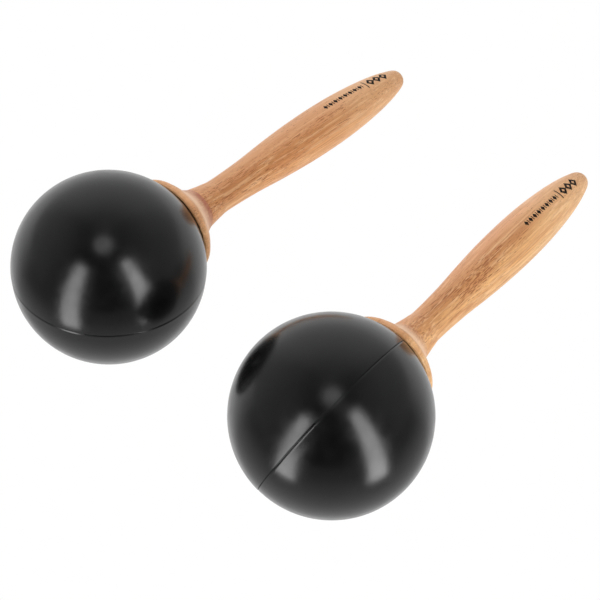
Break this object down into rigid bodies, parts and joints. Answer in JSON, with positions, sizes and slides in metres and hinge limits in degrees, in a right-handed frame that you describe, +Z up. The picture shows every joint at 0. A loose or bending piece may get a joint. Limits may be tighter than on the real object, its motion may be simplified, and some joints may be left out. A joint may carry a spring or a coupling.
{
  "type": "pair of maracas",
  "caption": "Pair of ball maracas: glossy black two-part plastic balls of loose shot on turned wooden handles with flared collars, lying side by side.",
  "frame": {"origin": "middle of the pair's outline, on the table they lie on", "axes": "+X along the left maraca's handle, from its ball to its tip as seen from above; +Z up from the table; +Y from the right maraca towards the left one"},
  "size_m": [0.2538, 0.209, 0.086],
  "materials": {
    "black_plastic": "moulded, softly glossy with fine handling marks",
    "turned_wood": "turned light hardwood, satin lacquer",
    "pin_steel": "plain drawn steel",
    "shot_steel": "plain steel shot"
  },
  "bodies": {
    "left_maraca": {"left_handle": "turned_wood", "left_shell_lip_half": "black_plastic", "left_shell_recess_half": "black_plastic", "left_tenon_pin": "pin_steel"},
    "right_maraca": {"right_handle": "turned_wood", "right_shell_lip_half": "black_plastic", "right_shell_recess_half": "black_plastic", "right_tenon_pin": "pin_steel"},
    "left_pellet_01": {"left_pellet_01": "shot_steel"},
    "left_pellet_02": {"left_pellet_02": "shot_steel"},
    "left_pellet_03": {"left_pellet_03": "shot_steel"},
    "left_pellet_04": {"left_pellet_04": "shot_steel"},
    "left_pellet_05": {"left_pellet_05": "shot_steel"},
    "left_pellet_06": {"left_pellet_06": "shot_steel"},
    "left_pellet_07": {"left_pellet_07": "shot_steel"},
    "left_pellet_08": {"left_pellet_08": "shot_steel"},
    "left_pellet_09": {"left_pellet_09": "shot_steel"},
    "left_pellet_10": {"left_pellet_10": "shot_steel"},
    "left_pellet_11": {"left_pellet_11": "shot_steel"},
    "left_pellet_12": {"left_pellet_12": "shot_steel"},
    "left_pellet_13": {"left_pellet_13": "shot_steel"},
    "left_pellet_14": {"left_pellet_14": "shot_steel"},
    "left_pellet_15": {"left_pellet_15": "shot_steel"},
    "left_pellet_16": {"left_pellet_16": "shot_steel"},
    "left_pellet_17": {"left_pellet_17": "shot_steel"},
    "left_pellet_18": {"left_pellet_18": "shot_steel"},
    "left_pellet_19": {"left_pellet_19": "shot_steel"},
    "right_pellet_01": {"right_pellet_01": "shot_steel"},
    "right_pellet_02": {"right_pellet_02": "shot_steel"},
    "right_pellet_03": {"right_pellet_03": "shot_steel"},
    "right_pellet_04": {"right_pellet_04": "shot_steel"},
    "right_pellet_05": {"right_pellet_05": "shot_steel"},
    "right_pellet_06": {"right_pellet_06": "shot_steel"},
    "right_pellet_07": {"right_pellet_07": "shot_steel"},
    "right_pellet_08": {"right_pellet_08": "shot_steel"},
    "right_pellet_09": {"right_pellet_09": "shot_steel"},
    "right_pellet_10": {"right_pellet_10": "shot_steel"},
    "right_pellet_11": {"right_pellet_11": "shot_steel"},
    "right_pellet_12": {"right_pellet_12": "shot_steel"},
    "right_pellet_13": {"right_pellet_13": "shot_steel"},
    "right_pellet_14": {"right_pellet_14": "shot_steel"},
    "right_pellet_15": {"right_pellet_15": "shot_steel"},
    "right_pellet_16": {"right_pellet_16": "shot_steel"},
    "right_pellet_17": {"right_pellet_17": "shot_steel"},
    "right_pellet_18": {"right_pellet_18": "shot_steel"},
    "right_pellet_19": {"right_pellet_19": "shot_steel"}
  },
  "joints": [
    {"name": "lift_right_maraca", "type": "slide", "parent": "left_maraca", "child": "right_maraca", "axis": [0, 0, 1], "range_m": [0, 0.12]},
    {"name": "shake_left_pellet_01", "type": "slide", "parent": "left_maraca", "child": "left_pellet_01", "axis": [0, 0, 1], "range_m": [0, 0.074]},
    {"name": "shake_left_pellet_02", "type": "slide", "parent": "left_maraca", "child": "left_pellet_02", "axis": [0, 0, 1], "range_m": [0, 0.0731]},
    {"name": "shake_left_pellet_03", "type": "slide", "parent": "left_maraca", "child": "left_pellet_03", "axis": [0, 0, 1], "range_m": [0, 0.0731]},
    {"name": "shake_left_pellet_04", "type": "slide", "parent": "left_maraca", "child": "left_pellet_04", "axis": [0, 0, 1], "range_m": [0, 0.0731]},
    {"name": "shake_left_pellet_05", "type": "slide", "parent": "left_maraca", "child": "left_pellet_05", "axis": [0, 0, 1], "range_m": [0, 0.0731]},
    {"name": "shake_left_pellet_06", "type": "slide", "parent": "left_maraca", "child": "left_pellet_06", "axis": [0, 0, 1], "range_m": [0, 0.0731]},
    {"name": "shake_left_pellet_07", "type": "slide", "parent": "left_maraca", "child": "left_pellet_07", "axis": [0, 0, 1], "range_m": [0, 0.0731]},
    {"name": "shake_left_pellet_08", "type": "slide", "parent": "left_maraca", "child": "left_pellet_08", "axis": [0, 0, 1], "range_m": [0, 0.0705]},
    {"name": "shake_left_pellet_09", "type": "slide", "parent": "left_maraca", "child": "left_pellet_09", "axis": [0, 0, 1], "range_m": [0, 0.0705]},
    {"name": "shake_left_pellet_10", "type": "slide", "parent": "left_maraca", "child": "left_pellet_10", "axis": [0, 0, 1], "range_m": [0, 0.0705]},
    {"name": "shake_left_pellet_11", "type": "slide", "parent": "left_maraca", "child": "left_pellet_11", "axis": [0, 0, 1], "range_m": [0, 0.0705]},
    {"name": "shake_left_pellet_12", "type": "slide", "parent": "left_maraca", "child": "left_pellet_12", "axis": [0, 0, 1], "range_m": [0, 0.0705]},
    {"name": "shake_left_pellet_13", "type": "slide", "parent": "left_maraca", "child": "left_pellet_13", "axis": [0, 0, 1], "range_m": [0, 0.0705]},
    {"name": "shake_left_pellet_14", "type": "slide", "parent": "left_maraca", "child": "left_pellet_14", "axis": [0, 0, 1], "range_m": [0, 0.0705]},
    {"name": "shake_left_pellet_15", "type": "slide", "parent": "left_maraca", "child": "left_pellet_15", "axis": [0, 0, 1], "range_m": [0, 0.0705]},
    {"name": "shake_left_pellet_16", "type": "slide", "parent": "left_maraca", "child": "left_pellet_16", "axis": [0, 0, 1], "range_m": [0, 0.0705]},
    {"name": "shake_left_pellet_17", "type": "slide", "parent": "left_maraca", "child": "left_pellet_17", "axis": [0, 0, 1], "range_m": [0, 0.0705]},
    {"name": "shake_left_pellet_18", "type": "slide", "parent": "left_maraca", "child": "left_pellet_18", "axis": [0, 0, 1], "range_m": [0, 0.0705]},
    {"name": "shake_left_pellet_19", "type": "slide", "parent": "left_maraca", "child": "left_pellet_19", "axis": [0, 0, 1], "range_m": [0, 0.0705]},
    {"name": "shake_right_pellet_01", "type": "slide", "parent": "right_maraca", "child": "right_pellet_01", "axis": [0, 0, 1], "range_m": [0, 0.074]},
    {"name": "shake_right_pellet_02", "type": "slide", "parent": "right_maraca", "child": "right_pellet_02", "axis": [0, 0, 1], "range_m": [0, 0.0731]},
    {"name": "shake_right_pellet_03", "type": "slide", "parent": "right_maraca", "child": "right_pellet_03", "axis": [0, 0, 1], "range_m": [0, 0.0731]},
    {"name": "shake_right_pellet_04", "type": "slide", "parent": "right_maraca", "child": "right_pellet_04", "axis": [0, 0, 1], "range_m": [0, 0.0731]},
    {"name": "shake_right_pellet_05", "type": "slide", "parent": "right_maraca", "child": "right_pellet_05", "axis": [0, 0, 1], "range_m": [0, 0.0731]},
    {"name": "shake_right_pellet_06", "type": "slide", "parent": "right_maraca", "child": "right_pellet_06", "axis": [0, 0, 1], "range_m": [0, 0.0731]},
    {"name": "shake_right_pellet_07", "type": "slide", "parent": "right_maraca", "child": "right_pellet_07", "axis": [0, 0, 1], "range_m": [0, 0.0731]},
    {"name": "shake_right_pellet_08", "type": "slide", "parent": "right_maraca", "child": "right_pellet_08", "axis": [0, 0, 1], "range_m": [0, 0.0705]},
    {"name": "shake_right_pellet_09", "type": "slide", "parent": "right_maraca", "child": "right_pellet_09", "axis": [0, 0, 1], "range_m": [0, 0.0705]},
    {"name": "shake_right_pellet_10", "type": "slide", "parent": "right_maraca", "child": "right_pellet_10", "axis": [0, 0, 1], "range_m": [0, 0.0705]},
    {"name": "shake_right_pellet_11", "type": "slide", "parent": "right_maraca", "child": "right_pellet_11", "axis": [0, 0, 1], "range_m": [0, 0.0705]},
    {"name": "shake_right_pellet_12", "type": "slide", "parent": "right_maraca", "child": "right_pellet_12", "axis": [0, 0, 1], "range_m": [0, 0.0705]},
    {"name": "shake_right_pellet_13", "type": "slide", "parent": "right_maraca", "child": "right_pellet_13", "axis": [0, 0, 1], "range_m": [0, 0.0705]},
    {"name": "shake_right_pellet_14", "type": "slide", "parent": "right_maraca", "child": "right_pellet_14", "axis": [0, 0, 1], "range_m": [0, 0.0705]},
    {"name": "shake_right_pellet_15", "type": "slide", "parent": "right_maraca", "child": "right_pellet_15", "axis": [0, 0, 1], "range_m": [0, 0.0705]},
    {"name": "shake_right_pellet_16", "type": "slide", "parent": "right_maraca", "child": "right_pellet_16", "axis": [0, 0, 1], "range_m": [0, 0.0705]},
    {"name": "shake_right_pellet_17", "type": "slide", "parent": "right_maraca", "child": "right_pellet_17", "axis": [0, 0, 1], "range_m": [0, 0.0705]},
    {"name": "shake_right_pellet_18", "type": "slide", "parent": "right_maraca", "child": "right_pellet_18", "axis": [0, 0, 1], "range_m": [0, 0.0705]},
    {"name": "shake_right_pellet_19", "type": "slide", "parent": "right_maraca", "child": "right_pellet_19", "axis": [0, 0, 1], "range_m": [0, 0.0705]}
  ]
}
